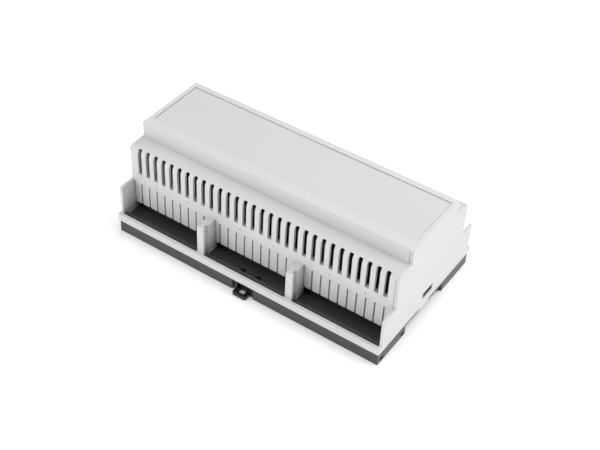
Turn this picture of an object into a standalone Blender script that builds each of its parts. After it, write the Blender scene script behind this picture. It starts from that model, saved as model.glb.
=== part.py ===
"""Rail-mounted PLC module: grey two-step hood on a black base, with its boards inside.

Lengths are written in millimetres in the housing's own frame: X along the module, Y across it
with the latch on the -Y side, Z up from the underside of the feet. The objects then hang on an
empty that puts the middle of the whole module's footprint, latch tab included, at the origin.
"""

from math import cos, pi, sin

import bmesh
import bpy

MM = 0.001

# Overall housing
HALF_LENGTH = 80.0
HALF_WIDTH = 45.0
HEIGHT = 58.0
CLEARANCE = 0.3
OVERCUT = 1.0
OVERLAP = 0.5
FRAME_SHIFT_Y = 1.35

# Hood: outer profile
TOP_HALF = 22.4
SHOULDER_Z = 49.6
VENT_WALL_Y = 33.0
BAY_TOP_Z = 28.3
BAY_WALL_Y = 42.4
LIP_TOP_Z = 11.8
LIP_BOTTOM_Z = 7.7
LIP_LINE_Z = 9.7
LIP_LINE_HALF = 0.15
LIP_LINE_DEPTH = 0.2
SHOULDER_RADIUS = 3.0
TOP_RADIUS = 0.9
STEP_TOP_Z = 57.0

# Hood: walls
WALL = 1.5
END_WALL = 1.5
CEILING_Z = 54.4
INNER_SHOULDER_Z = 48.1
INNER_TOP_HALF = 20.3
LIP_INNER_Y = 43.2
CORNER_STEP_WIDTH = 2.0
CORNER_STEP_DEPTH = 0.6

# Hood: bays, slots, windows
DIVIDER_WIDTH = 4.0
DIVIDER_CENTRES = (-27.8, 26.2)
DIVIDER_GROOVE_Y = (38.7, 40.9)
DIVIDER_GROOVE_DEPTH = 1.2
GUARD_TOP_Z = 27.7
GUARD_BOTTOM_Z = 13.2
GUARD_RECESS = 0.4
GUARD_THICKNESS = 1.4
GUARD_GAP = 0.8
GUARD_HEAD = 1.3
GUARD_SHELF = 1.8
GUARD_FLANGE_TOP_Z = 33.0
GUARD_FLANGE_THICKNESS = 1.3
SLOT_PITCH = 5.08
SLOT_COUNT = 30
SLOT_WIDTH = 2.3
SLOT_CORNER = 0.5
SLOT_Z = (33.5, 49.2)
DIMPLE_Z = 30.2
DIMPLE_RADIUS = 0.6
DIMPLE_DEPTH = 0.4
DIMPLE_OFFSETS = (-63.3, -43.0, -10.3, 10.3, 43.0, 63.3)
WINDOW_Y = (-4.6, 4.9)
WINDOW_Z = (12.4, 16.6)
WINDOW_SKIN = 0.6
LOOP_Y = (-6.2, 2.9)
LOOP_BOTTOM_Z = 6.3

# Front panel, let into the top
PANEL_X = 77.2
PANEL_Y = (-15.7, 18.1)
PANEL_SEAT_Z = 56.0
PANEL_TOP_Z = 57.5
PANEL_OPENING_X = 74.0
PANEL_LEDGE = 2.8
PANEL_TONGUE_X = (-55.0, -18.0, 18.0, 55.0)
PANEL_TONGUE_HALF = 4.0
PANEL_TONGUE_THICKNESS = 1.2
PANEL_TONGUE_BOTTOM_Z = 52.6

# Base
BASE_HALF_LENGTH = 79.6
BASE_HALF_WIDTH = 44.2
BASE_SLAB_TOP_Z = 7.4
FLOOR_Z = 8.3
FLOOR_HALF_LENGTH = 78.2
FLOOR_HALF_WIDTH = 42.3
RIM_INNER_Y = 40.6
RIM_TOP_Z = 11.5
RIM_END_GAP = 0.7
TONGUE_THICKNESS = 2.0
TONGUE_TOP_Z = 16.2
TONGUE_LEAD = 1.0
RAIL_SEAT_Z = 5.3
CHANNEL_Y = (-18.65, 17.7)
FOOT_WALL = 2.0
FOOT_POCKET_TOP_Z = 6.4
FOOT_POCKETS_X = ((-77.6, -41.0), (-31.0, -8.8), (8.8, 31.0), (41.0, 77.6))
HOOK_RANGES_X = ((-78.4, -64.0), (-8.0, 8.0), (64.0, 78.4))
HOOK_TIP_Y = 13.2
HOOK_TOP_Z = 3.8
HOOK_TIP_HEIGHT = 0.8
HOOK_ROOT_Y = 16.6
HOOK_ROOT_Z = 0.1
RELIEF_MARGIN = 0.2
TUNNEL_HALF = 6.25
TUNNEL_END_Y = -15.6
TUNNEL_TOP_Z = 6.6
GUIDE_GROOVE_X = 7.7
GUIDE_GROOVE_Y = (-40.3, -18.0)
GUIDE_GROOVE_Z = (2.6, 4.9)
FLOOR_HOLE_X = (-4.8, 4.8)
FLOOR_HOLE_HALF = 1.5
FLOOR_HOLE_Y = (-37.8, -36.2)
BOSS_RADIUS = 3.5
BOSS_HOLE_RADIUS = 1.5
BOSS_TOP_Z = 11.0
BOSS_POSITIONS = ((-70.0, -15.0), (-58.5, 17.5), (36.5, -18.0), (36.5, 18.0))

NOTCH_RANGES_Y = ((-42.0, -38.9), (-22.4, -19.8))
NOTCH_Z = (0.8, 2.85)
NOTCH_DEPTH = 1.4

# Latch
LATCH_HALF = 5.7
LATCH_FRONT_Y = -43.6
LATCH_TOP_Z = 6.0
LATCH_RECESS_HALF = 3.5
LATCH_TAB_HALF = 4.1
LATCH_TAB_Y = -47.7
LATCH_TAB_Z = (0.3, 2.4)
LATCH_TAB_CORNER = 0.9
LATCH_HOLE_HALF = 1.9
LATCH_HOLE_Y = (-46.0, -42.4)
LATCH_NOSE_Y = -16.0
LATCH_NOSE_TOP_Z = 3.7
LATCH_NOSE_RAMP = 4.0
LATCH_NOSE_TIP = 0.8
LATCH_WING_HALF = 7.3
LATCH_WING_Y = (-36.0, -25.0)
LATCH_WING_Z = (2.9, 4.6)
LATCH_TAB_ROOT_Y = -41.0
LATCH_RECESS_END = 0.6
SPRING_SLOT_X = (2.2, 3.4)
SPRING_SLOT_Y = (-40.0, -24.0)

# Boards
BOARD_THICKNESS = 1.6
MAIN_BOARD_X = (-74.8, 74.8)
MAIN_BOARD_HALF_WIDTH = 28.6
MAIN_BOARD_Z = BOSS_TOP_Z + CLEARANCE
PART_Z = MAIN_BOARD_Z + BOARD_THICKNESS + CLEARANCE
LOGIC_BOARD_HALF_X = 34.0
LOGIC_BOARD_HALF_Y = 18.0
LOGIC_BOARD_Z = 33.5
SPACER_POSITIONS = ((-30.0, -14.0), (-30.0, 14.0), (30.0, -14.0), (30.0, 14.0))
RELAY_X = (44.5, 56.5, 68.5)
RELAY_Y = (-9.5, 9.5)
ISOLATOR_X = (-21.0, -9.0, 9.0, 21.0)


def clear_scene():
    """Remove every object and mesh so that the script always starts from nothing."""
    for item in list(bpy.data.objects):
        bpy.data.objects.remove(item)
    for mesh in list(bpy.data.meshes):
        bpy.data.meshes.remove(mesh)


def make_material(name, color, roughness, metallic=0.0):
    """Return a Principled material."""
    material = bpy.data.materials.new(name)
    material.use_nodes = True
    shader = material.node_tree.nodes["Principled BSDF"]
    shader.inputs["Base Color"].default_value = (*color, 1.0)
    shader.inputs["Roughness"].default_value = roughness
    shader.inputs["Metallic"].default_value = metallic
    material.diffuse_color = (*color, 1.0)
    return material


# Solids are (points, faces) pairs in millimetres.


def prism(points_2d, low, high, place):
    """Extrude a counter-clockwise outline from low to high. place maps (u, v, w) to a point."""
    count = len(points_2d)
    points = [place(u, v, low) for u, v in points_2d]
    points += [place(u, v, high) for u, v in points_2d]
    faces = [tuple(reversed(range(count))), tuple(range(count, 2 * count))]
    for i in range(count):
        j = (i + 1) % count
        faces.append((i, j, count + j, count + i))
    return points, faces


def prism_x(outline_yz, x_low, x_high):
    """Extrude a YZ outline along X."""
    return prism(outline_yz, x_low, x_high, lambda u, v, w: (w, u, v))


def prism_y(outline_xz, y_low, y_high):
    """Extrude an XZ outline along Y."""
    return prism(outline_xz, y_low, y_high, lambda u, v, w: (u, w, v))


def prism_z(outline_xy, z_low, z_high):
    """Extrude an XY outline along Z."""
    return prism(outline_xy, z_low, z_high, lambda u, v, w: (u, v, w))


def box(x, y, z):
    """Return a box from three (low, high) ranges."""
    outline = [(x[0], y[0]), (x[1], y[0]), (x[1], y[1]), (x[0], y[1])]
    return prism_z(outline, z[0], z[1])


def circle(centre, radius, segments):
    """Return the points of a circle."""
    step = 2 * pi / segments
    return [
        (centre[0] + radius * cos(i * step), centre[1] + radius * sin(i * step))
        for i in range(segments)
    ]


def cylinder_z(centre, radius, z_low, z_high, segments=24):
    """Return an upright cylinder."""
    return prism_z(circle(centre, radius, segments), z_low, z_high)


def rounded_rectangle(u, v, radius, segments=3):
    """Return a counter-clockwise rectangle outline with round corners, from two (low, high) ranges."""
    centres = (
        (u[1] - radius, v[1] - radius),
        (u[0] + radius, v[1] - radius),
        (u[0] + radius, v[0] + radius),
        (u[1] - radius, v[0] + radius),
    )
    points = []
    for quarter, centre in enumerate(centres):
        points += arc(centre, radius, 90 * quarter, 90 * quarter + 90, segments)
    return points


def arc(centre, radius, start, end, segments):
    """Return points on an arc, with the angles in degrees."""
    points = []
    for i in range(segments + 1):
        angle = (start + (end - start) * i / segments) * pi / 180
        points.append((centre[0] + radius * cos(angle), centre[1] + radius * sin(angle)))
    return points


def mirrored(outline):
    """Close an outline that runs up its +Y half by adding the same points on the -Y half."""
    return outline + [(-y, z) for y, z in reversed(outline)]


def both_sides(low, high):
    """Return the two mirrored ranges, negative side first, for a distance range from the middle."""
    return ((-high, -low), (low, high))


def new_object(name, solids, material=None):
    """Make one mesh object from solids that don't touch each other."""
    points = []
    faces = []
    for solid_points, solid_faces in solids:
        first = len(points)
        points += [(x * MM, y * MM, z * MM) for x, y, z in solid_points]
        faces += [tuple(first + i for i in face) for face in solid_faces]
    mesh = bpy.data.meshes.new(name)
    mesh.from_pydata(points, [], faces)
    work = bmesh.new()
    work.from_mesh(mesh)
    bmesh.ops.recalc_face_normals(work, faces=work.faces)
    work.to_mesh(mesh)
    work.free()
    item = bpy.data.objects.new(name, mesh)
    bpy.context.scene.collection.objects.link(item)
    if material:
        mesh.materials.append(material)
    return item


def combine(item, operation, solids):
    """Add solids to an object, or cut them out of it, and keep the result as its mesh."""
    tool = new_object(item.name + "_tool", solids)
    tool.display_type = "WIRE"
    tool.hide_render = True
    modifier = item.modifiers.new("combine", "BOOLEAN")
    modifier.operation = operation
    modifier.solver = "EXACT"
    modifier.object = tool
    bpy.context.view_layer.update()
    graph = bpy.context.evaluated_depsgraph_get()
    result = bpy.data.meshes.new_from_object(item.evaluated_get(graph))
    old_mesh = item.data
    item.modifiers.clear()
    item.data = result
    bpy.data.meshes.remove(old_mesh)
    tool_mesh = tool.data
    bpy.data.objects.remove(tool)
    bpy.data.meshes.remove(tool_mesh)


def smooth(item, angle_degrees=35.0):
    """Shade an object smooth across shallow edges only."""
    limit = angle_degrees * pi / 180
    work = bmesh.new()
    work.from_mesh(item.data)
    for face in work.faces:
        face.smooth = True
    for edge in work.edges:
        edge.smooth = len(edge.link_faces) == 2 and edge.calc_face_angle(0.0) < limit
    work.to_mesh(item.data)
    work.free()


def slot_positions():
    """Return the X of every ventilation slot and break-out gap."""
    middle = (SLOT_COUNT - 1) / 2
    return [(i - middle) * SLOT_PITCH for i in range(SLOT_COUNT)]


def bay_ranges():
    """Return the clear X range of each of the three bays on one side."""
    inner = HALF_LENGTH - END_WALL
    half = DIVIDER_WIDTH / 2
    first, second = DIVIDER_CENTRES
    return ((-inner, first - half), (first + half, second - half), (second + half, inner))


def build_hood(material):
    """Light-grey hood with vents, bays, dividers, lips, panel seat and end windows."""
    half_outline = [
        (HALF_WIDTH, LIP_BOTTOM_Z),
        (HALF_WIDTH, LIP_LINE_Z - LIP_LINE_HALF),
        (HALF_WIDTH - LIP_LINE_DEPTH, LIP_LINE_Z),
        (HALF_WIDTH, LIP_LINE_Z + LIP_LINE_HALF),
        (HALF_WIDTH, LIP_TOP_Z),
        (BAY_WALL_Y, LIP_TOP_Z),
        (BAY_WALL_Y, BAY_TOP_Z),
        (VENT_WALL_Y, BAY_TOP_Z),
    ]
    shoulder_centre = (VENT_WALL_Y - SHOULDER_RADIUS, SHOULDER_Z - SHOULDER_RADIUS)
    half_outline += arc(shoulder_centre, SHOULDER_RADIUS, 0, 90, 6)
    half_outline.append((TOP_HALF, SHOULDER_Z))
    half_outline += arc((TOP_HALF - TOP_RADIUS, HEIGHT - TOP_RADIUS), TOP_RADIUS, 0, 90, 3)
    hood = new_object(
        "cover_hood", [prism_x(mirrored(half_outline), -HALF_LENGTH, HALF_LENGTH)], material
    )

    # Tabs of the end walls that reach down over the edge of the base plate
    inner = HALF_LENGTH - END_WALL
    loops = [
        box(ends, LOOP_Y, (LOOP_BOTTOM_Z, LIP_BOTTOM_Z + OVERCUT))
        for ends in ((-HALF_LENGTH, -inner), (inner, HALF_LENGTH))
    ]
    combine(hood, "UNION", loops)

    # Inside
    wall_y = VENT_WALL_Y - WALL
    cavity = mirrored(
        [
            (wall_y, -OVERCUT),
            (wall_y, INNER_SHOULDER_Z),
            (INNER_TOP_HALF, INNER_SHOULDER_Z),
            (INNER_TOP_HALF, CEILING_Z),
        ]
    )
    combine(hood, "DIFFERENCE", [prism_x(cavity, -inner, inner)])

    # Bays: open in front above the lip, and down to the base behind it
    front = []
    floor = []
    for x in bay_ranges():
        for y in both_sides(VENT_WALL_Y, HALF_WIDTH + OVERCUT):
            front.append(box(x, y, (LIP_TOP_Z, BAY_TOP_Z + OVERCUT)))
        for y in both_sides(wall_y - OVERLAP, LIP_INNER_Y):
            floor.append(box(x, y, (-OVERCUT, GUARD_TOP_Z + CLEARANCE)))
    combine(hood, "DIFFERENCE", front)
    combine(hood, "DIFFERENCE", floor)

    # Undersides of the dividers, clear of the base floor
    undersides = []
    for centre in DIVIDER_CENTRES:
        x = (centre - DIVIDER_WIDTH, centre + DIVIDER_WIDTH)
        for y in both_sides(wall_y - OVERLAP, LIP_INNER_Y):
            undersides.append(box(x, y, (-OVERCUT, FLOOR_Z + CLEARANCE)))
    combine(hood, "DIFFERENCE", undersides)

    # Upright grooves behind the front posts of the dividers
    grooves = []
    neck = DIVIDER_WIDTH / 2 - DIVIDER_GROOVE_DEPTH
    edge = DIVIDER_WIDTH / 2 + OVERLAP
    for centre in DIVIDER_CENTRES:
        for x in ((centre - edge, centre - neck), (centre + neck, centre + edge)):
            for y in both_sides(*DIVIDER_GROOVE_Y):
                grooves.append(box(x, y, (FLOOR_Z - OVERCUT, BAY_TOP_Z + OVERCUT)))
    combine(hood, "DIFFERENCE", grooves)

    # Ventilation slots, cut up into the rounded shoulder
    slots = []
    for x in slot_positions():
        slot_x = (x - SLOT_WIDTH / 2, x + SLOT_WIDTH / 2)
        outline = rounded_rectangle(slot_x, SLOT_Z, SLOT_CORNER)
        for y in both_sides(wall_y - OVERCUT, VENT_WALL_Y + OVERCUT):
            slots.append(prism_y(outline, *y))
    combine(hood, "DIFFERENCE", slots)

    # Steps at the ends of the upright faces, and windows in the end walls
    steps = []
    windows = []
    step_start = HALF_LENGTH - CORNER_STEP_WIDTH
    for x in ((-HALF_LENGTH - OVERCUT, -step_start), (step_start, HALF_LENGTH + OVERCUT)):
        for y in both_sides(TOP_HALF - CORNER_STEP_DEPTH, TOP_HALF + OVERLAP):
            steps.append(box(x, y, (SHOULDER_Z, STEP_TOP_Z)))
        for y in both_sides(VENT_WALL_Y - CORNER_STEP_DEPTH, VENT_WALL_Y + OVERLAP):
            steps.append(box(x, y, (BAY_TOP_Z, SHOULDER_Z - SHOULDER_RADIUS)))
    for side in (-1, 1):
        x = sorted((side * (inner - OVERCUT), side * (HALF_LENGTH + OVERCUT)))
        windows.append(box(x, WINDOW_Y, WINDOW_Z))
    combine(hood, "DIFFERENCE", steps + windows)

    # Channels up the inside of the end walls, which the base's tongues slide in
    channels = []
    channel_y = (WINDOW_Y[0] - CLEARANCE, WINDOW_Y[1] + CLEARANCE)
    for side in (-1, 1):
        x = sorted((side * (inner - OVERCUT), side * (HALF_LENGTH - WINDOW_SKIN)))
        channels.append(box(x, channel_y, (0.0, WINDOW_Z[1] + CLEARANCE)))
    combine(hood, "DIFFERENCE", channels)

    # Small dimples over the guards
    dimples = []
    for x in DIMPLE_OFFSETS:
        outline = circle((x, DIMPLE_Z), DIMPLE_RADIUS, 8)
        for y in both_sides(VENT_WALL_Y - DIMPLE_DEPTH, VENT_WALL_Y + OVERCUT):
            dimples.append(prism_y(outline, *y))
    combine(hood, "DIFFERENCE", dimples)

    # Seat and opening for the front panel
    seat_x = (-PANEL_X - CLEARANCE, PANEL_X + CLEARANCE)
    seat_y = (PANEL_Y[0] - CLEARANCE, PANEL_Y[1] + CLEARANCE)
    combine(hood, "DIFFERENCE", [box(seat_x, seat_y, (PANEL_SEAT_Z, HEIGHT + OVERCUT))])
    opening_x = (-PANEL_OPENING_X, PANEL_OPENING_X)
    opening_y = (PANEL_Y[0] + PANEL_LEDGE, PANEL_Y[1] - PANEL_LEDGE)
    opening_z = (CEILING_Z - OVERCUT, PANEL_SEAT_Z + OVERLAP)
    combine(hood, "DIFFERENCE", [box(opening_x, opening_y, opening_z)])
    smooth(hood)
    return hood


def build_panel(material):
    """Plain front panel with snap tongues along its long sides."""
    x = (-PANEL_X, PANEL_X)
    panel = new_object(
        "front_panel", [box(x, PANEL_Y, (PANEL_SEAT_Z + CLEARANCE, PANEL_TOP_Z))], material
    )
    near = PANEL_Y[0] + PANEL_LEDGE + CLEARANCE
    far = PANEL_Y[1] - PANEL_LEDGE - CLEARANCE
    tongues = []
    tongue_z = (PANEL_TONGUE_BOTTOM_Z, PANEL_SEAT_Z + OVERCUT)
    for centre in PANEL_TONGUE_X:
        tongue_x = (centre - PANEL_TONGUE_HALF, centre + PANEL_TONGUE_HALF)
        for y in ((near, near + PANEL_TONGUE_THICKNESS), (far - PANEL_TONGUE_THICKNESS, far)):
            tongues.append(box(tongue_x, y, tongue_z))
    combine(panel, "UNION", tongues)
    return panel


def build_guard(name, x_range, side, material):
    """Comb of break-out strips that hangs behind the lower edge of a vent wall."""
    low = x_range[0] + CLEARANCE
    high = x_range[1] - CLEARANCE
    face = VENT_WALL_Y - GUARD_RECESS
    back = face - GUARD_THICKNESS
    flange = VENT_WALL_Y - WALL - CLEARANCE
    flange_back = flange - GUARD_FLANGE_THICKNESS
    shelf_z = GUARD_TOP_Z - GUARD_SHELF
    outline = [
        (face, GUARD_BOTTOM_Z),
        (face, GUARD_TOP_Z),
        (flange, GUARD_TOP_Z),
        (flange, GUARD_FLANGE_TOP_Z),
        (flange_back, GUARD_FLANGE_TOP_Z),
        (flange_back, shelf_z),
        (back, shelf_z),
        (back, GUARD_BOTTOM_Z),
    ]
    outline = [(side * y, z) for y, z in outline]
    guard = new_object(name, [prism_x(outline, low, high)], material)
    gaps = []
    gap_y = sorted((side * (back - 0.1), side * VENT_WALL_Y))
    gap_z = (GUARD_BOTTOM_Z - OVERCUT, GUARD_TOP_Z - GUARD_HEAD)
    for x in slot_positions():
        if low + OVERCUT < x < high - OVERCUT:
            gaps.append(box((x - GUARD_GAP / 2, x + GUARD_GAP / 2), gap_y, gap_z))
    combine(guard, "DIFFERENCE", gaps)
    return guard


def build_base(material):
    """Black base: floor, feet, rail channel, fixed hooks, latch tunnel, bosses and end tongues."""
    slab_x = (-BASE_HALF_LENGTH, BASE_HALF_LENGTH)
    slab_y = (-BASE_HALF_WIDTH, BASE_HALF_WIDTH)
    base = new_object("base_tray", [box(slab_x, slab_y, (0.0, BASE_SLAB_TOP_Z))], material)
    floor_x = (-FLOOR_HALF_LENGTH, FLOOR_HALF_LENGTH)
    floor_y = (-FLOOR_HALF_WIDTH, FLOOR_HALF_WIDTH)
    combine(base, "UNION", [box(floor_x, floor_y, (BASE_SLAB_TOP_Z - OVERLAP, FLOOR_Z))])
    rims = [
        box((low + RIM_END_GAP, high - RIM_END_GAP), y, (FLOOR_Z - OVERLAP, RIM_TOP_Z))
        for low, high in bay_ranges()
        for y in both_sides(RIM_INNER_Y, FLOOR_HALF_WIDTH)
    ]
    bosses = [
        cylinder_z(position, BOSS_RADIUS, FLOOR_Z - OVERLAP, BOSS_TOP_Z)
        for position in BOSS_POSITIONS
    ]
    tongues = []
    tongue_end = HALF_LENGTH - WINDOW_SKIN - CLEARANCE
    tongue_y = (WINDOW_Y[0] + CLEARANCE, WINDOW_Y[1] - CLEARANCE)
    for side in (-1, 1):
        ends = sorted((side * (tongue_end - TONGUE_THICKNESS), side * tongue_end))
        outline = [
            (tongue_y[0], FLOOR_Z - OVERLAP),
            (tongue_y[1], FLOOR_Z - OVERLAP),
            (tongue_y[1], TONGUE_TOP_Z - TONGUE_LEAD),
            (tongue_y[1] - TONGUE_LEAD, TONGUE_TOP_Z),
            (tongue_y[0] + TONGUE_LEAD, TONGUE_TOP_Z),
            (tongue_y[0], TONGUE_TOP_Z - TONGUE_LEAD),
        ]
        tongues.append(prism_x(outline, ends[0], ends[1]))
    combine(base, "UNION", rims + bosses + tongues)

    # Rail channel and the hollows in the feet
    long_x = (-BASE_HALF_LENGTH - OVERCUT, BASE_HALF_LENGTH + OVERCUT)
    combine(base, "DIFFERENCE", [box(long_x, CHANNEL_Y, (-OVERCUT, RAIL_SEAT_Z))])
    near_foot = (-BASE_HALF_WIDTH + FOOT_WALL, CHANNEL_Y[0] - FOOT_WALL)
    far_foot = (CHANNEL_Y[1] + FOOT_WALL, BASE_HALF_WIDTH - FOOT_WALL)
    pockets = [
        box(x, y, (-OVERCUT, FOOT_POCKET_TOP_Z)) for x in FOOT_POCKETS_X for y in (near_foot, far_foot)
    ]
    combine(base, "DIFFERENCE", pockets)

    # Latch tunnel through the near foot, with a groove along each side
    tunnel_x = (-TUNNEL_HALF, TUNNEL_HALF)
    tunnel_y = (-BASE_HALF_WIDTH - OVERCUT, TUNNEL_END_Y)
    combine(base, "DIFFERENCE", [box(tunnel_x, tunnel_y, (-OVERCUT, TUNNEL_TOP_Z))])
    groove_x = (-GUIDE_GROOVE_X, GUIDE_GROOVE_X)
    combine(base, "DIFFERENCE", [box(groove_x, GUIDE_GROOVE_Y, GUIDE_GROOVE_Z)])

    # Screw holes, latch openings in the floor, end notches and room for the hood's tabs
    cuts = [
        cylinder_z(position, BOSS_HOLE_RADIUS, BASE_SLAB_TOP_Z - OVERCUT, BOSS_TOP_Z + OVERCUT, 16)
        for position in BOSS_POSITIONS
    ]
    hole_z = (TUNNEL_TOP_Z - OVERLAP, FLOOR_Z + OVERCUT)
    for x in FLOOR_HOLE_X:
        cuts.append(box((x - FLOOR_HOLE_HALF, x + FLOOR_HOLE_HALF), FLOOR_HOLE_Y, hole_z))
    for side in (-1, 1):
        notch_x = sorted((side * (BASE_HALF_LENGTH - NOTCH_DEPTH), side * (HALF_LENGTH + OVERCUT)))
        tab_x = sorted((side * (FLOOR_HALF_LENGTH + 0.001), side * (HALF_LENGTH + OVERCUT)))
        cuts += [box(notch_x, y, NOTCH_Z) for y in NOTCH_RANGES_Y]
        tab_y = (LOOP_Y[0] - CLEARANCE, LOOP_Y[1] + CLEARANCE)
        cuts.append(box(tab_x, tab_y, (-OVERCUT, FLOOR_Z + OVERCUT)))
    combine(base, "DIFFERENCE", cuts)

    # Fixed hooks under the far edge of the rail, with the openings that a mould forms them through
    relief_y = (HOOK_TIP_Y - RELIEF_MARGIN, CHANNEL_Y[1])
    relief_z = (RAIL_SEAT_Z - OVERLAP, FLOOR_Z + OVERCUT)
    reliefs = [
        box((low - RELIEF_MARGIN, high + RELIEF_MARGIN), relief_y, relief_z)
        for low, high in HOOK_RANGES_X
    ]
    combine(base, "DIFFERENCE", reliefs)
    wedge = [
        (CHANNEL_Y[1] + OVERLAP, HOOK_ROOT_Z),
        (CHANNEL_Y[1] + OVERLAP, HOOK_TOP_Z),
        (HOOK_TIP_Y, HOOK_TOP_Z),
        (HOOK_TIP_Y, HOOK_TOP_Z - HOOK_TIP_HEIGHT),
        (HOOK_ROOT_Y, HOOK_ROOT_Z),
    ]
    combine(base, "UNION", [prism_x(wedge, *x) for x in HOOK_RANGES_X])
    smooth(base)
    return base


def build_latch(material):
    """Spring latch: pull tab with a square hole, guided body and wedge under the rail."""
    bottom = LATCH_TAB_Z[0]
    above = LATCH_TOP_Z + OVERCUT
    shoulder_y = CHANNEL_Y[0] - FOOT_WALL
    side_outline = [
        (LATCH_FRONT_Y, bottom),
        (LATCH_NOSE_Y - LATCH_NOSE_RAMP, bottom),
        (LATCH_NOSE_Y, LATCH_NOSE_TOP_Z - LATCH_NOSE_TIP),
        (LATCH_NOSE_Y, LATCH_NOSE_TOP_Z),
        (shoulder_y, LATCH_NOSE_TOP_Z),
        (shoulder_y, LATCH_TOP_Z),
        (LATCH_FRONT_Y, LATCH_TOP_Z),
    ]
    latch = new_object("din_latch", [prism_x(side_outline, -LATCH_HALF, LATCH_HALF)], material)
    wings = box((-LATCH_WING_HALF, LATCH_WING_HALF), LATCH_WING_Y, LATCH_WING_Z)
    tab_x = (-LATCH_TAB_HALF, LATCH_TAB_HALF)
    tab_outline = rounded_rectangle(tab_x, (LATCH_TAB_Y, LATCH_TAB_ROOT_Y), LATCH_TAB_CORNER)
    recess_x = (-LATCH_RECESS_HALF, LATCH_RECESS_HALF)
    recess_y = (LATCH_FRONT_Y - OVERCUT, LATCH_HOLE_Y[1] + LATCH_RECESS_END)
    recess = box(recess_x, recess_y, (LATCH_TAB_Z[1], above))
    hole_x = (-LATCH_HOLE_HALF, LATCH_HOLE_HALF)
    hole = box(hole_x, LATCH_HOLE_Y, (-OVERCUT, LATCH_TAB_Z[1] + OVERLAP))
    spring_slots = [
        box(x, SPRING_SLOT_Y, (-OVERCUT, above)) for x in both_sides(*SPRING_SLOT_X)
    ]
    combine(latch, "UNION", [wings])
    combine(latch, "DIFFERENCE", [recess])
    combine(latch, "UNION", [prism_z(tab_outline, *LATCH_TAB_Z)])
    combine(latch, "DIFFERENCE", [hole] + spring_slots)
    smooth(latch)
    return latch


def build_screw(name, centre, head_z, length, material):
    """Pan-head screw standing on its shank, with a cross recess."""
    screw = new_object(name, [cylinder_z(centre, 2.6, head_z, head_z + 1.8, 20)], material)
    shank = cylinder_z(centre, 1.2, head_z - length, head_z + 0.5, 12)
    combine(screw, "UNION", [shank])
    x, y = centre
    cross = [
        (x - 1.6, y - 0.3), (x - 0.3, y - 0.3), (x - 0.3, y - 1.6), (x + 0.3, y - 1.6),
        (x + 0.3, y - 0.3), (x + 1.6, y - 0.3), (x + 1.6, y + 0.3), (x + 0.3, y + 0.3),
        (x + 0.3, y + 1.6), (x - 0.3, y + 1.6), (x - 0.3, y + 0.3), (x - 1.6, y + 0.3),
    ]
    combine(screw, "DIFFERENCE", [prism_z(cross, head_z + 1.0, head_z + 3.0)])
    smooth(screw)
    return screw


def build_board(name, x, y, z_low, holes, hole_radius, material):
    """Circuit board with round holes."""
    board = new_object(name, [box(x, y, (z_low, z_low + BOARD_THICKNESS))], material)
    cutters = [
        cylinder_z(centre, hole_radius, z_low - 1, z_low + BOARD_THICKNESS + 1, 16)
        for centre in holes
    ]
    combine(board, "DIFFERENCE", cutters)
    return board


def build_header(name, x_range, side, material):
    """Contact strip behind a guard, with one pocket per pole in its outer face."""
    low = x_range[0] + 2.0
    high = x_range[1] - 2.0
    y = sorted((side * 21.5, side * 28.4))
    header = new_object(name, [box((low, high), y, (PART_Z, PART_Z + 8.4))], material)
    poles = []
    for x in slot_positions():
        centre = x + SLOT_PITCH / 2
        if low + 2.0 < centre < high - 2.0:
            pole_y = sorted((side * 24.0, side * 30.0))
            poles.append(box((centre - 1.6, centre + 1.6), pole_y, (PART_Z + 2, PART_Z + 6.4)))
    combine(header, "DIFFERENCE", poles)
    return header


def build_block(name, x, y, z, material):
    """Plain rectangular component with its upper edges broken."""
    bevel = 0.5
    outline = [
        (y[0], z[0]),
        (y[1], z[0]),
        (y[1], z[1] - bevel),
        (y[1] - bevel, z[1]),
        (y[0] + bevel, z[1]),
        (y[0], z[1] - bevel),
    ]
    return new_object(name, [prism_x(outline, *x)], material)


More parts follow.
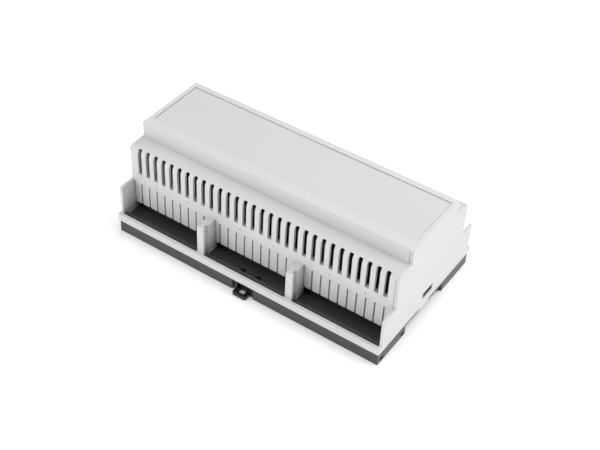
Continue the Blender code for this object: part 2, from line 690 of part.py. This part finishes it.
def build_boards(materials):
    """Everything the base carries inside the hood."""
    board_y = (-MAIN_BOARD_HALF_WIDTH, MAIN_BOARD_HALF_WIDTH)
    holes = BOSS_POSITIONS + SPACER_POSITIONS
    build_board("main_board", MAIN_BOARD_X, board_y, MAIN_BOARD_Z, holes, 1.5, materials["board"])
    head_z = MAIN_BOARD_Z + BOARD_THICKNESS + CLEARANCE
    for i, position in enumerate(BOSS_POSITIONS, 1):
        build_screw(f"board_screw_{i}", position, head_z, 5.6, materials["steel"])
    for i, x in enumerate(bay_ranges(), 1):
        build_header(f"header_near_{i}", x, -1, materials["connector"])
        build_header(f"header_far_{i}", x, 1, materials["connector"])

    # Output relays, supply parts and input isolators
    relays = [(x, y) for y in RELAY_Y for x in RELAY_X]
    for i, (x, y) in enumerate(relays, 1):
        size_x = (x - 5.1, x + 5.1)
        size_y = (y - 9.2, y + 9.2)
        build_block(f"relay_{i}", size_x, size_y, (PART_Z, PART_Z + 15.3), materials["relay"])
    for i, y in enumerate((-4.0, 7.0), 1):
        capacitor = new_object(
            f"capacitor_{i}", [cylinder_z((-68.0, y), 5.0, PART_Z, PART_Z + 16.0)],
            materials["capacitor"],
        )
        smooth(capacitor)
    converter_z = (PART_Z, PART_Z + 11.0)
    build_block("power_converter", (-60.0, -40.0), (-13.0, 13.0), converter_z, materials["chip"])
    for i, x in enumerate(ISOLATOR_X, 1):
        size_x = (x - 4.8, x + 4.8)
        build_block(f"isolator_{i}", size_x, (8.0, 14.4), (PART_Z, PART_Z + 3.8), materials["chip"])

    # Logic board on spacers, with its connector and chips
    logic_x = (-LOGIC_BOARD_HALF_X, LOGIC_BOARD_HALF_X)
    logic_y = (-LOGIC_BOARD_HALF_Y, LOGIC_BOARD_HALF_Y)
    build_board(
        "logic_board", logic_x, logic_y, LOGIC_BOARD_Z, SPACER_POSITIONS, 1.5, materials["board"]
    )
    logic_top = LOGIC_BOARD_Z + BOARD_THICKNESS + CLEARANCE
    for i, position in enumerate(SPACER_POSITIONS, 1):
        spacer_top = LOGIC_BOARD_Z - CLEARANCE
        spacer = new_object(
            f"board_spacer_{i}", [cylinder_z(position, 3.0, PART_Z, spacer_top, 6)],
            materials["steel"],
        )
        combine(spacer, "DIFFERENCE", [cylinder_z(position, 1.5, spacer_top - 6, 40.0, 16)])
        smooth(spacer)
        build_screw(f"spacer_screw_{i}", position, logic_top, 6.5, materials["steel"])
    connector_z = (PART_Z, LOGIC_BOARD_Z - CLEARANCE)
    connector_y = (-14.5, -9.5)
    build_block("board_connector", (-15.0, 15.0), connector_y, connector_z, materials["chip"])
    chip_z = (logic_top, logic_top + 1.4)
    build_block("processor", (-7.0, 7.0), (-6.0, 8.0), chip_z, materials["chip"])
    build_block("memory_chip", (14.0, 22.0), (-3.0, 3.0), chip_z, materials["chip"])


def new_empty(name, y, parent=None):
    """Make a plain empty on the X = 0, Z = 0 line, for the pieces that move with it."""
    empty = bpy.data.objects.new(name, None)
    empty.location = (0.0, y * MM, 0.0)
    empty.parent = parent
    bpy.context.scene.collection.objects.link(empty)
    return empty


def place_in_row_frame():
    """Hang every piece on an empty of its moving group, so that the footprint is centred.

    The hood and panel lift along the vertical line through their empties, and the latch slides
    along the horizontal one.
    """
    pieces = list(bpy.data.objects)
    housing = new_empty("housing_frame", FRAME_SHIFT_Y)
    hood_slide = new_empty("hood_slide", 0.0, housing)
    panel_slide = new_empty("panel_slide", 0.0, hood_slide)
    latch_slide = new_empty("latch_slide", 0.0, housing)
    for item in pieces:
        if item.name == "front_panel":
            item.parent = panel_slide
        elif item.name == "din_latch":
            item.parent = latch_slide
        elif item.name == "cover_hood" or item.name.startswith("guard_"):
            item.parent = hood_slide
        else:
            item.parent = housing


def main():
    clear_scene()
    materials = {
        "hood": make_material("hood_grey", (0.72, 0.73, 0.71), 0.45),
        "panel": make_material("panel_grey", (0.71, 0.72, 0.70), 0.5),
        "guard": make_material("guard_grey", (0.70, 0.71, 0.69), 0.5),
        "base": make_material("base_black", (0.045, 0.045, 0.05), 0.5),
        "latch": make_material("latch_black", (0.02, 0.02, 0.022), 0.45),
        "board": make_material("board_green", (0.03, 0.16, 0.07), 0.4),
        "connector": make_material("connector_grey", (0.06, 0.06, 0.065), 0.5),
        "relay": make_material("relay_blue", (0.04, 0.09, 0.2), 0.45),
        "capacitor": make_material("capacitor_sleeve", (0.03, 0.03, 0.06), 0.4),
        "chip": make_material("component_black", (0.02, 0.02, 0.02), 0.5),
        "steel": make_material("steel", (0.6, 0.6, 0.58), 0.35, 1.0),
    }
    build_base(materials["base"])
    build_hood(materials["hood"])
    build_panel(materials["panel"])
    build_latch(materials["latch"])
    for i, x in enumerate(bay_ranges(), 1):
        build_guard(f"guard_near_{i}", x, -1, materials["guard"])
        build_guard(f"guard_far_{i}", x, 1, materials["guard"])
    build_boards(materials)
    place_in_row_frame()


main()
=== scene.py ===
"""Looks of the rail-mounted PLC module: moulded shells, boards, studio floor, lights and camera.

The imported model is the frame. Every shell is rebuilt from its CAD node with rounded edges, and
small details are placed from the nodes' own boxes. Lengths are in metres.
"""

from math import ceil, cos, floor, radians, sin

import bmesh
import bpy
from mathutils import Matrix, Vector


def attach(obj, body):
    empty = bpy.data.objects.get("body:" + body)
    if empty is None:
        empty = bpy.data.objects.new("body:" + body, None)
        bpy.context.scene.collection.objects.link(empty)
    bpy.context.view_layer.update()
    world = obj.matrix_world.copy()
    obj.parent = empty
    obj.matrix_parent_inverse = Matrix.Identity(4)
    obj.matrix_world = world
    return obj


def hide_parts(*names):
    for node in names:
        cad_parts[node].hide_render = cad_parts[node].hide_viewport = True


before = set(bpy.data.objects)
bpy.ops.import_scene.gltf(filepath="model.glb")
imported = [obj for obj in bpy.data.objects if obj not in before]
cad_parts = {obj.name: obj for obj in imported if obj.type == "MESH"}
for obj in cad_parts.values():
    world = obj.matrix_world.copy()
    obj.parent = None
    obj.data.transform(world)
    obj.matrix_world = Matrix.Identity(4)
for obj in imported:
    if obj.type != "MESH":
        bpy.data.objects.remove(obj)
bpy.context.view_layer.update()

MM = 0.001

# Camera, in degrees and metres, looking along its own -Z
CAMERA_AZIMUTH = 32.14
CAMERA_ELEVATION = 41.965
CAMERA_ROLL = 3.285
CAMERA_PLACE = (0.24393, -0.38049, 0.42259)
CAMERA_LENS = 70.616
SENSOR_WIDTH = 36.0
NEAREST_SEEN = 0.01

# Widths of the rounded edges, and the angles from which an edge is rounded and shades as a crease
SHELL_EDGE = 0.22 * MM
PANEL_EDGE = 0.14 * MM
GUARD_EDGE = 0.22 * MM
BASE_EDGE = 0.25 * MM
SMALL_EDGE = 0.18 * MM
FINE_EDGE = 0.06 * MM
ROUNDED_ANGLE = 32.0
CREASE_ANGLE = 35.0

# The panel reaches this far into the groove on each long side
PANEL_GROWTH = 0.12 * MM

# Texture of the plastic: scales per metre and depths
CLOUD_SCALE = 38.0
UNEVEN_SCALE = 90.0
UNEVEN_DEPTH = 0.04 * MM
GLOSS_SCALE = 650.0
GRAIN_SCALE = 2600.0
GRAIN_DEPTH = 0.02 * MM
FILM_GRAIN_DEPTH = 0.004 * MM
WORN_POINTINESS = (0.52, 0.62)

# Texture of the boards and of the metals
WEAVE_SCALE = 420.0
TRACK_SCALE = 150.0
TRACK_GAP = 0.035
TRACK_HEIGHT = 0.03 * MM
LACQUER_SCALE = 500.0
SCRATCH_SCALE = 900.0
SCRATCH_DEPTH = 0.01 * MM
EVEN_BRUSH = (1.0, 1.0, 1.0)

# Contacts in the headers, from each header's outer face and underside
CONTACT_PITCH = 5.08 * MM
POCKET_MARGIN = 2.0 * MM
CONTACT_DEPTH = 2.7 * MM
CONTACT_RISE = 4.2 * MM
CONTACT_SIZE = (0.8 * MM, 3.9 * MM, 1.6 * MM)

# Leads of the chips: spacing, then each lead's reach, width and height
ISOLATOR_LEADS = (2.54 * MM, (0.9 * MM, 0.5 * MM, 0.3 * MM))
CHIP_LEADS = (0.8 * MM, (0.7 * MM, 0.35 * MM, 0.2 * MM))

# Bare aluminium top of the capacitors
CAN_TOP_RADIUS = 4.1 * MM
CAN_TOP_HEIGHT = 0.1 * MM
CAN_TOP_SIDES = 20

# The lamps aim here; the floor paper glows with painted light, which rises between two distances
# from the middle
SUBJECT = (0.0, 0.0, 0.03)
FLOOR_PAINTED_GLOW = (0.262, 0.95)
FLOOR_RAMP = (0.8, 2.4)
FLOOR_HALF = 3.0
FLOOR_COLOR = (0.95, 0.95, 0.95)

# Area lights: name, place, (width, height), power in watts
LIGHTS = (
    ("key_right", (1.2, 0.35, 0.6), (1.0, 0.8), 7.73),
    ("overhead_bank", (0.1, 0.15, 1.2), (1.4, 1.2), 10.17),
    ("front_fill", (-0.5, -1.1, 0.6), (0.9, 0.7), 9.75),
    ("back_bank", (0.2, 1.2, 0.9), (1.2, 0.8), 8.5),
)


# Node-based materials


class Nodes:
    """A material's node tree with short calls to add and link nodes."""

    def __init__(self, name):
        self.material = bpy.data.materials.new(name)
        self.material.use_nodes = True
        self.tree = self.material.node_tree
        self.shader = self.tree.nodes["Principled BSDF"]
        self.place = self.add("ShaderNodeTexCoord").outputs["Object"]

    def add(self, kind, **values):
        node = self.tree.nodes.new(kind)
        for key, value in values.items():
            setattr(node, key, value)
        return node

    def link(self, output, target):
        self.tree.links.new(output, target)

    def noise(self, scale, detail=2.0, roughness=0.5):
        node = self.add("ShaderNodeTexNoise")
        node.inputs["Scale"].default_value = scale
        node.inputs["Detail"].default_value = detail
        node.inputs["Roughness"].default_value = roughness
        self.link(self.place, node.inputs["Vector"])
        return node.outputs["Fac"]

    def remap(self, value, low, high, from_low=0.3, from_high=0.7):
        node = self.add("ShaderNodeMapRange")
        node.inputs["From Min"].default_value = from_low
        node.inputs["From Max"].default_value = from_high
        node.inputs["To Min"].default_value = low
        node.inputs["To Max"].default_value = high
        self.link(value, node.inputs["Value"])
        return node.outputs["Result"]

    def mix(self, factor, first, second):
        node = self.add("ShaderNodeMix", data_type="RGBA")
        self.link(factor, node.inputs["Factor"])
        for socket, value in ((node.inputs[6], first), (node.inputs[7], second)):
            if isinstance(value, tuple):
                socket.default_value = (*value, 1.0)
            else:
                self.link(value, socket)
        return node.outputs[2]

    def bump(self, height, distance, strength=1.0, below=None):
        node = self.add("ShaderNodeBump")
        node.inputs["Distance"].default_value = distance
        node.inputs["Strength"].default_value = strength
        self.link(height, node.inputs["Height"])
        if below is not None:
            self.link(below, node.inputs["Normal"])
        return node.outputs["Normal"]


def tinted(color, factor):
    """Return a colour made lighter or darker by a factor."""
    return tuple(min(1.0, channel * factor) for channel in color)


def moulded_plastic(name, color, roughness, grain=GRAIN_DEPTH, spread=0.02):
    """Textured moulding: spark-eroded grain, faint cloudiness, and slightly paler worn edges."""
    nodes = Nodes(name)
    clouds = nodes.noise(CLOUD_SCALE, 3.0)
    darker, lighter = tinted(color, 1.0 - spread), tinted(color, 1.0 + spread)
    base = nodes.mix(nodes.remap(clouds, 0.0, 1.0), darker, lighter)
    pointed = nodes.add("ShaderNodeNewGeometry").outputs["Pointiness"]
    worn = nodes.remap(pointed, 0.0, 1.0, *WORN_POINTINESS)
    color_out = nodes.mix(worn, base, tinted(color, 1.06))
    nodes.link(color_out, nodes.shader.inputs["Base Color"])
    gloss = nodes.noise(GLOSS_SCALE, 2.0)
    rough = nodes.remap(gloss, roughness - 0.04, roughness + 0.05)
    nodes.link(rough, nodes.shader.inputs["Roughness"])
    fine = nodes.noise(GRAIN_SCALE, 2.0, 0.6)
    broad = nodes.bump(nodes.noise(UNEVEN_SCALE, 1.0), UNEVEN_DEPTH, 0.35)
    nodes.link(nodes.bump(fine, grain, 0.6, broad), nodes.shader.inputs["Normal"])
    nodes.shader.inputs["Specular IOR Level"].default_value = 0.45
    return nodes.material


def circuit_board(name):
    """Green solder mask over a woven laminate, with copper tracks showing through it."""
    nodes = Nodes(name)
    weave = nodes.add("ShaderNodeTexWave", wave_type="BANDS", bands_direction="X")
    weave.inputs["Scale"].default_value = WEAVE_SCALE
    nodes.link(nodes.place, weave.inputs["Vector"])
    woven = nodes.remap(weave.outputs["Fac"], 0.0, 1.0, 0.0, 1.0)
    laminate = nodes.mix(woven, (0.004, 0.03, 0.013), (0.006, 0.038, 0.016))
    tracks = nodes.add("ShaderNodeTexBrick", offset=0.37, squash=0.6)
    tracks.inputs["Scale"].default_value = TRACK_SCALE
    tracks.inputs["Mortar Size"].default_value = TRACK_GAP
    tracks.inputs["Mortar Smooth"].default_value = 0.3
    nodes.link(nodes.place, tracks.inputs["Vector"])
    color = nodes.mix(tracks.outputs["Fac"], laminate, (0.01, 0.06, 0.024))
    nodes.link(color, nodes.shader.inputs["Base Color"])
    rough = nodes.remap(nodes.noise(LACQUER_SCALE, 2.0), 0.25, 0.36)
    nodes.link(rough, nodes.shader.inputs["Roughness"])
    raised = nodes.bump(tracks.outputs["Fac"], TRACK_HEIGHT, 0.6)
    nodes.link(raised, nodes.shader.inputs["Normal"])
    return nodes.material


def metal(name, color, roughness, brush=(1.0, 14.0, 1.0)):
    """Plated metal with fine directional scratches."""
    nodes = Nodes(name)
    stretch = nodes.add("ShaderNodeMapping")
    stretch.inputs["Scale"].default_value = brush
    nodes.link(nodes.place, stretch.inputs["Vector"])
    scratches = nodes.add("ShaderNodeTexNoise")
    scratches.inputs["Scale"].default_value = SCRATCH_SCALE
    nodes.link(stretch.outputs["Vector"], scratches.inputs["Vector"])
    tone = nodes.remap(scratches.outputs["Fac"], 0.0, 1.0)
    plated = nodes.mix(tone, tinted(color, 0.9), tinted(color, 1.08))
    nodes.link(plated, nodes.shader.inputs["Base Color"])
    rough = nodes.remap(scratches.outputs["Fac"], roughness - 0.06, roughness + 0.08)
    nodes.link(rough, nodes.shader.inputs["Roughness"])
    grooved = nodes.bump(scratches.outputs["Fac"], SCRATCH_DEPTH, 0.5)
    nodes.link(grooved, nodes.shader.inputs["Normal"])
    nodes.shader.inputs["Metallic"].default_value = 1.0
    return nodes.material


def painted_glow_paper(name, color):
    """Plain matt floor paper that glows with painted light: weakly near the module, more strongly
    far from the lamps.
    """
    nodes = Nodes(name)
    fibres = nodes.remap(nodes.noise(60.0, 4.0), 0.0, 1.0)
    paper = nodes.mix(fibres, tinted(color, 0.995), color)
    nodes.link(paper, nodes.shader.inputs["Base Color"])
    nodes.shader.inputs["Roughness"].default_value = 0.75
    nodes.shader.inputs["Specular IOR Level"].default_value = 0.2
    # Painted light: the paper glows, weakly near the middle and more strongly far out
    nodes.shader.inputs["Emission Color"].default_value = (1.0, 1.0, 1.0, 1.0)
    distance = nodes.add("ShaderNodeVectorMath", operation="LENGTH")
    nodes.link(nodes.place, distance.inputs[0])
    ramp = nodes.add("ShaderNodeMapRange", interpolation_type="SMOOTHSTEP")
    ramp.inputs["From Min"].default_value, ramp.inputs["From Max"].default_value = FLOOR_RAMP
    ramp.inputs["To Min"].default_value, ramp.inputs["To Max"].default_value = FLOOR_PAINTED_GLOW
    nodes.link(distance.outputs["Value"], ramp.inputs["Value"])
    nodes.link(ramp.outputs["Result"], nodes.shader.inputs["Emission Strength"])
    return nodes.material


# Meshes


def add_object(name, mesh, material, body):
    """Link a mesh object and make it ride on a body with a finish."""
    item = bpy.data.objects.new(name, mesh)
    bpy.context.scene.collection.objects.link(item)
    mesh.materials.clear()
    mesh.materials.append(material)
    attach(item, body)
    return item


def round_edges(item, width, segments=3):
    """Round an object's sharp edges by a fixed width."""
    bevel = item.modifiers.new("rounded_edges", "BEVEL")
    bevel.width = width
    bevel.segments = segments
    bevel.limit_method = "ANGLE"
    bevel.angle_limit = radians(ROUNDED_ANGLE)
    bevel.use_clamp_overlap = True
    bevel.miter_outer = "MITER_ARC"


def settle_normals(item):
    """Keep the rounded mesh, with flat faces that shade flat and creases that stay crisp."""
    graph = bpy.context.evaluated_depsgraph_get()
    rounded = bpy.data.meshes.new_from_object(item.evaluated_get(graph))
    item.modifiers.clear()
    plain = item.data
    item.data = rounded
    bpy.data.meshes.remove(plain)
    work = bmesh.new()
    work.from_mesh(rounded)
    for edge in work.edges:
        even = edge.calc_face_angle(0.0) < radians(CREASE_ANGLE)
        edge.smooth = len(edge.link_faces) == 2 and even
    work.to_mesh(rounded)
    work.free()
    weighted = item.modifiers.new("even_normals", "WEIGHTED_NORMAL")
    weighted.mode = "FACE_AREA"
    weighted.weight = 100
    weighted.keep_sharp = True


def clean_copy(node):
    """Return a copy of a CAD node's mesh with even triangles and smooth shading on."""
    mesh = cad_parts[node].data.copy()
    work = bmesh.new()
    work.from_mesh(mesh)
    bmesh.ops.remove_doubles(work, verts=work.verts, dist=0.001 * MM)
    bmesh.ops.dissolve_limit(work, angle_limit=radians(0.5), verts=work.verts, edges=work.edges)
    bmesh.ops.triangulate(work, faces=work.faces)
    for face in work.faces:
        face.smooth = True
    work.to_mesh(mesh)
    work.free()
    return mesh


def refine(node, name, material, body, width, segments=3):
    """Replace a CAD node by the same shape with rounded edges."""
    item = add_object(name, clean_copy(node), material, body)
    round_edges(item, width, segments)
    settle_normals(item)
    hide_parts(node)
    return item


def widen(item, growth):
    """Move an object's long sides outwards by the same distance along Y."""
    points = [vertex.co for vertex in item.data.vertices]
    low = min(point.y for point in points)
    high = max(point.y for point in points)
    middle = (low + high) / 2
    factor = 1 + 2 * growth / (high - low)
    for point in points:
        point.y = middle + (point.y - middle) * factor


# Materials

hood_grey = moulded_plastic("hood_grey_moulded", (0.655, 0.665, 0.65), 0.46)
panel_grey = moulded_plastic("panel_grey_moulded", (0.645, 0.655, 0.64), 0.5)
guard_grey = moulded_plastic("guard_grey_moulded", (0.64, 0.65, 0.635), 0.48)
base_black = moulded_plastic("base_black_moulded", (0.047, 0.047, 0.051), 0.36, spread=0.06)
latch_black = moulded_plastic("latch_black_moulded", (0.012, 0.012, 0.013), 0.4, spread=0.06)
board_green = circuit_board("board_green_mask")
connector_grey = moulded_plastic("connector_grey_moulded", (0.05, 0.05, 0.055), 0.45)
relay_blue = moulded_plastic("relay_blue_moulded", (0.012, 0.016, 0.028), 0.4)
capacitor_sleeve = moulded_plastic(
    "capacitor_sleeve_film", (0.02, 0.02, 0.05), 0.25, FILM_GRAIN_DEPTH
)
component_black = moulded_plastic("component_black_moulded", (0.018, 0.018, 0.019), 0.5)
steel = metal("zinc_plated_steel", (0.62, 0.62, 0.6), 0.3)
tin = metal("tinned_copper", (0.68, 0.68, 0.66), 0.28)
capacitor_top = metal("capacitor_can_top", (0.7, 0.71, 0.72), 0.32, EVEN_BRUSH)

# Shells

refine("cover_hood", "hood_shell", hood_grey, "hood", SHELL_EDGE)
panel = refine("front_panel", "panel_plate", panel_grey, "panel", PANEL_EDGE)
widen(panel, PANEL_GROWTH)
refine("base_tray", "base_shell", base_black, "base", BASE_EDGE)
refine("din_latch", "latch_slider", latch_black, "latch", BASE_EDGE)
for side in ("near", "far"):
    for number in (1, 2, 3):
        node = f"guard_{side}_{number}"
        refine(node, f"comb_{side}_{number}", guard_grey, "hood", GUARD_EDGE)

# Pieces inside: name start -> (material, finish slot, edge)
INNER_PIECES = {
    "main_board": (board_green, "board_green", FINE_EDGE),
    "logic_board": (board_green, "board_green", FINE_EDGE),
    "board_screw": (steel, "steel", SMALL_EDGE),
    "spacer_screw": (steel, "steel", SMALL_EDGE),
    "board_spacer": (steel, "steel", SMALL_EDGE),
    "header": (connector_grey, "connector_grey", SMALL_EDGE),
    "relay": (relay_blue, "relay_blue", SMALL_EDGE),
    "capacitor": (capacitor_sleeve, "capacitor_sleeve", SMALL_EDGE),
    "isolator": (component_black, "component_black", FINE_EDGE),
    "power_converter": (component_black, "component_black", SMALL_EDGE),
    "board_connector": (component_black, "component_black", SMALL_EDGE),
    "processor": (component_black, "component_black", FINE_EDGE),
    "memory_chip": (component_black, "component_black", FINE_EDGE),
}
for node in list(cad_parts):
    for start, (material, slot, edge) in INNER_PIECES.items():
        if node.startswith(start):
            refine(node, f"{node}_visual", material, "base", edge, 2)

# Small details, placed from the CAD nodes' own boxes


def node_box(node):
    """Return the lowest and highest corner of a CAD node."""
    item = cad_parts[node]
    corners = [item.matrix_world @ Vector(corner) for corner in item.bound_box]
    low = Vector(min(corner[axis] for corner in corners) for axis in range(3))
    high = Vector(max(corner[axis] for corner in corners) for axis in range(3))
    return low, high


def add_boxes(name, boxes, material):
    """Add one object made of boxes, each given as its centre and its full size."""
    mesh = bpy.data.meshes.new(name)
    work = bmesh.new()
    for centre, size in boxes:
        made = bmesh.ops.create_cube(work, size=1.0)["verts"]
        bmesh.ops.scale(work, vec=size, verts=made)
        bmesh.ops.translate(work, vec=centre, verts=made)
    work.to_mesh(mesh)
    work.free()
    item = add_object(name, mesh, material, "base")
    round_edges(item, FINE_EDGE, 2)
    settle_normals(item)


def add_can_top(node):
    """The bare round top of a capacitor's can."""
    low, high = node_box(node)
    middle = (low + high) / 2
    mesh = bpy.data.meshes.new(f"{node}_can_top")
    work = bmesh.new()
    made = bmesh.ops.create_cone(
        work,
        cap_ends=True,
        segments=CAN_TOP_SIDES,
        radius1=CAN_TOP_RADIUS,
        radius2=CAN_TOP_RADIUS,
        depth=CAN_TOP_HEIGHT,
    )["verts"]
    centre = Vector((middle.x, middle.y, high.z + CAN_TOP_HEIGHT / 2))
    bmesh.ops.translate(work, vec=centre, verts=made)
    work.to_mesh(mesh)
    work.free()
    add_object(f"{node}_can_top", mesh, capacitor_top, "base")


def add_leads(node, pitch, lead):
    """Stubs of the bent leads along the long sides of a chip."""
    low, high = node_box(node)
    reach, width, height = lead
    count = int((high.x - low.x - pitch) / pitch)
    middle = (low.x + high.x) / 2
    boxes = []
    for i in range(count):
        x = middle + (i - (count - 1) / 2) * pitch
        for y in (low.y - reach / 2, high.y + reach / 2):
            boxes.append((Vector((x, y, low.z + height / 2)), Vector((width, reach, height))))
    add_boxes(f"{node}_legs", boxes, tin)


def add_contacts(node):
    """Spring contacts in the pockets of a header, which lie at whole pitches from the middle."""
    low, high = node_box(node)
    first = ceil((low.x + POCKET_MARGIN) / CONTACT_PITCH)
    last = floor((high.x - POCKET_MARGIN) / CONTACT_PITCH)
    outer = high.y if high.y > 0 else low.y
    inward = -1 if high.y > 0 else 1
    boxes = []
    for i in range(first, last + 1):
        centre = Vector((i * CONTACT_PITCH, outer + inward * CONTACT_DEPTH, low.z + CONTACT_RISE))
        boxes.append((centre, Vector(CONTACT_SIZE)))
    add_boxes(f"{node}_contacts", boxes, tin)


for node in list(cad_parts):
    if node.startswith("isolator"):
        add_leads(node, *ISOLATOR_LEADS)
    elif node in ("processor", "memory_chip"):
        add_leads(node, *CHIP_LEADS)
    elif node.startswith("header"):
        add_contacts(node)
    elif node.startswith("capacitor"):
        add_can_top(node)

# Floor, lights and camera


def add_light(name, place, size, power):
    """Add an area light aimed at the module."""
    data = bpy.data.lights.new(name, "AREA")
    data.shape = "RECTANGLE"
    data.size, data.size_y = size
    data.energy = power
    item = bpy.data.objects.new(name, data)
    item.location = place
    aim = Vector(SUBJECT) - Vector(place)
    item.rotation_euler = aim.to_track_quat("-Z", "Y").to_euler()
    bpy.context.scene.collection.objects.link(item)


def add_floor():
    """Add the studio floor under the module."""
    mesh = bpy.data.meshes.new("studio_floor")
    work = bmesh.new()
    corners = ((-1, -1), (1, -1), (1, 1), (-1, 1))
    work.faces.new([work.verts.new((x * FLOOR_HALF, y * FLOOR_HALF, 0.0)) for x, y in corners])
    work.to_mesh(mesh)
    work.free()
    mesh.materials.append(painted_glow_paper("studio_floor_painted_glow", FLOOR_COLOR))
    sheet = bpy.data.objects.new("studio_floor", mesh)
    bpy.context.scene.collection.objects.link(sheet)


def add_dark_world():
    """Keep the surroundings dark, so that only the lamps and the floor's painted glow light the
    module.
    """
    world = bpy.data.worlds.new("studio_surroundings")
    world.use_nodes = True
    world.node_tree.nodes["Background"].inputs["Strength"].default_value = 0.0
    bpy.context.scene.world = world


def add_camera():
    """Add the camera from its azimuth, elevation and roll."""
    azimuth, elevation, roll = map(radians, (CAMERA_AZIMUTH, CAMERA_ELEVATION, CAMERA_ROLL))
    back = Vector((sin(azimuth) * cos(elevation), -cos(azimuth) * cos(elevation), sin(elevation)))
    right = Vector((cos(azimuth), sin(azimuth), 0.0))
    up = back.cross(right)
    rolled_right = cos(roll) * right + sin(roll) * up
    rolled_up = cos(roll) * up - sin(roll) * right
    data = bpy.data.cameras.new("product_camera")
    data.lens = CAMERA_LENS
    data.sensor_width = SENSOR_WIDTH
    data.clip_start = NEAREST_SEEN
    camera = bpy.data.objects.new("product_camera", data)
    turn = Matrix((rolled_right, rolled_up, back)).transposed()
    camera.matrix_world = Matrix.Translation(CAMERA_PLACE) @ turn.to_4x4()
    bpy.context.scene.collection.objects.link(camera)
    bpy.context.scene.camera = camera


add_floor()
add_dark_world()
for light in LIGHTS:
    add_light(*light)
bpy.context.scene.view_settings.view_transform = "Standard"
add_camera()
